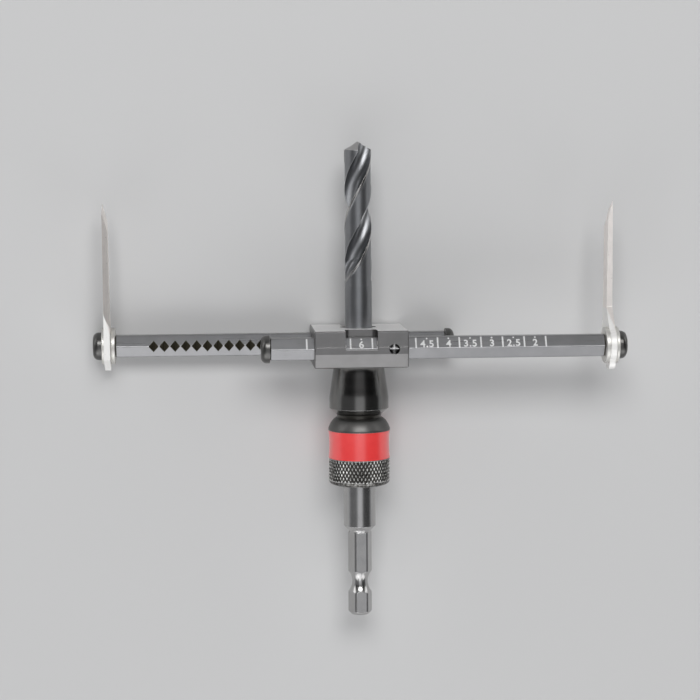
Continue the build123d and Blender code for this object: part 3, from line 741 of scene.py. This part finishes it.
def drill_mesh():
    """The twisted sides on a grid of station and outline, closed by the point and by a flat foot.

    A point (u, w) of the outline at station y turns by 2 pi (y - waist) / pitch about the axis, and
    the grid's top row lies on the point's surface. The cap's rows draw the two halves of that outline
    together until they meet in one line, so each land's u is evened out there with its mirror image.
    """
    stretch = np.linspace(0, 1, drill_rows) ** 0.9
    base = drill_low.y + (drill_high.y - drill_low.y) * stretch
    offset = flute_offset + np.clip(flute_foot - base, 0, None) * runout_slope
    u, w, margin = drill_section(offset)
    top = drill_high.y - drill_point(u[-1], w[-1])
    y = drill_low.y + (top[None, :] - drill_low.y) * stretch[:, None]
    spine = u[-1].copy()
    for first in (0, land_points + flute_points):
        land = spine[first:first + land_points]
        spine[first:first + land_points] = (land + land[::-1]) / 2
    shrink = np.linspace(1, 0, point_rows + 1)[1:, None]
    cap_u = spine + (u[-1] - spine) * shrink
    cap_w = w[-1:] * shrink
    cap_y = drill_high.y - drill_point(cap_u, cap_w)
    foot_u, foot_w = u[:1] * 0.0, w[:1] * 0.0
    foot_y = np.full_like(foot_u, drill_low.y)
    u = np.concatenate([foot_u, u, cap_u])
    w = np.concatenate([foot_w, w, cap_w])
    y = np.concatenate([foot_y, y, cap_y])
    bright = np.concatenate([margin[:1] * 0, margin, np.ones_like(cap_u) * point_brightness])
    turn = 2 * pi * (y - waist_height) / flute_pitch
    x = w * np.cos(turn) + u * np.sin(turn)
    z = -w * np.sin(turn) + u * np.cos(turn)
    rows, columns = u.shape
    row, column = np.meshgrid(np.arange(rows - 1), np.arange(columns), indexing="ij")
    here = row * columns + column
    beside = row * columns + (column + 1) % columns
    faces = np.stack([here, beside, beside + columns, here + columns], axis=-1).reshape(-1, 4)
    mesh = solid_mesh("pilot_drill", np.stack([x, y, z], axis=-1).reshape(-1, 3), faces)
    ground = mesh.attributes.new("ground", "FLOAT", "POINT")
    ground.data.foreach_set("value", bright.reshape(-1).astype(np.float32))
    shape = bmesh.new()
    shape.from_mesh(mesh)
    bmesh.ops.remove_doubles(shape, verts=shape.verts, dist=0.0005 * mm)
    shape.to_mesh(mesh)
    shape.free()
    mesh.set_sharp_from_angle(angle=radians(32))
    return mesh


drill_finish = worked_steel(
    "drill_black", 0.26, (0.03, 1.5, 0.03), (0.33, 0.38), spread=0.02, depth=0.0002,
    tint=(0.97, 0.99, 1.03), edge=0.1
)
ground = wire(drill_finish.node_tree, "Attribute", {}, 2, attribute_name="ground")
overlaid(drill_finish, ground, (0.5, 0.49, 0.48), 0.25)
drill_surface = drill_mesh()
drill_surface.materials.append(drill_finish)
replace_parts(new_piece("pilot_drill_surface", drill_surface, "hub"), "pilot_drill")

# Blades: blanked from tool steel and ground on the taper, the tip and the leading edge. The ground
# steel is warm and finely lined, and below the blades' shoulders it keeps a pale blasted skin.
blade_finish = worked_steel(
    "ground_steel", 0.92, (2.5, 0.3, 2.5), (0.36, 0.46), tint=(1.0, 0.95, 0.91), shine=0.7
)
tree = blade_finish.node_tree
place = wire(tree, "TexCoord", {}, 3)
skin_slope = 3.6
skin_above_arms = 7.3 * mm
skin_fray = 0.4 * mm
skin_blend = 0.3 * mm
skin_edge = wire(tree, "TexNoise", {"Vector": place, "Scale": 0.8 / mm, "Detail": 3})
ragged = between(tree, skin_edge, 0.3, 0.7, -skin_fray, skin_fray)
blade_low, blade_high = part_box("front_blade")
place_x, place_y = (wire(tree, "SeparateXYZ", {"Vector": place}, axis) for axis in range(2))
blade_side = wire(tree, "Math", {0: place_x}, operation="SIGN")
middle_x = (blade_low.x + blade_high.x) / 2
blade_middle = wire(tree, "Math", {0: blade_side, 1: middle_x}, operation="MULTIPLY")
across = wire(tree, "Math", {0: place_x, 1: blade_middle}, operation="SUBTRACT")
slanted = wire(tree, "Math", {0: across, 1: skin_slope, 2: place_y}, operation="MULTIPLY_ADD")
height = wire(tree, "Math", {0: slanted, 1: ragged}, operation="ADD")
skin_top = arm_height + skin_above_arms
skin = between(tree, height, skin_top + skin_blend, skin_top - skin_blend, 0, 1, smooth=True)
overlaid(blade_finish, skin, (0.92, 0.91, 0.89), 0.5)
skin_metal = between(tree, skin, 0, 1, 0.8, 0.4)
tree.links.new(skin_metal, tree.nodes["Principled BSDF"].inputs["Metallic"])
pits = wire(tree, "TexNoise", {"Vector": place, "Scale": 2.2 / mm, "Detail": 2})
overlaid(blade_finish, between(tree, pits, 0.72, 0.78, 0, 0.8), (0.25, 0.2, 0.16), 0.6)
for side in ("front", "rear"):
    dressed(side + "_blade", blade_finish, sharp=radians(12))

# Washers: plain steel, bright zinc plated with the faint yellow of its passivation, two beside each
# blade on the screw.
zinc_finish = worked_steel(
    "bright_zinc", 0.68, (0.3, 3, 3), (0.40, 0.48), cloud=0.08, tint=(1.0, 0.985, 0.94), shine=0.3
)
for side in ("front", "rear"):
    dressed(side + "_inner_washer", zinc_finish)
    dressed(side + "_outer_washer", zinc_finish)

# Screws: steel button heads with a hexagon socket, forged and blackened, their rims painted bright as a
# painted highlight. They hold the blades and stop the arms, and a grub screw of the same steel holds the
# drill.
screw_finish = blackened("screw_black", 0.11, (0.28, 0.36), edge_wear_and_highlight=0.9)
for side in ("front", "rear"):
    dressed(side + "_blade_screw", screw_finish)
    dressed(side + "_stop_screw", screw_finish)
dressed("drill_set_screw", screw_finish)

# Springs and what carries them: hard drawn wire, a snap ring and a washer, all of bare spring steel.
# The collar's spring gets a mesh of its own, and each detent spring is baked in place and rides with no
# body.
spring_finish = worked_steel("spring_wire", 0.45, (1, 1, 1), (0.3, 0.4))
coil_sharp = radians(50)
collar_spring = dressed("collar_spring", spring_finish, coil_sharp)
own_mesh(collar_spring)
for side, outward in (("front", 1), ("rear", -1)):
    detent_spring = dressed(side + "_detent_spring", spring_finish, coil_sharp, rides=False)
    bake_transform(detent_spring)
for node in ("spring_seat_washer", "snap_ring"):
    dressed(node, spring_finish)

# Balls: ground and lapped bearing steel. Three sit in the tube's holes and lock the shank, and one
# stands on each detent spring.
ball_finish = worked_steel("ball_steel", 0.7, (1, 1, 1), (0.08, 0.12), spread=0.02, depth=0.0002)
for node in ("lock_ball_1", "lock_ball_2", "lock_ball_3", "front_detent_ball", "rear_detent_ball"):
    dressed(node, ball_finish, sharp=radians(60))
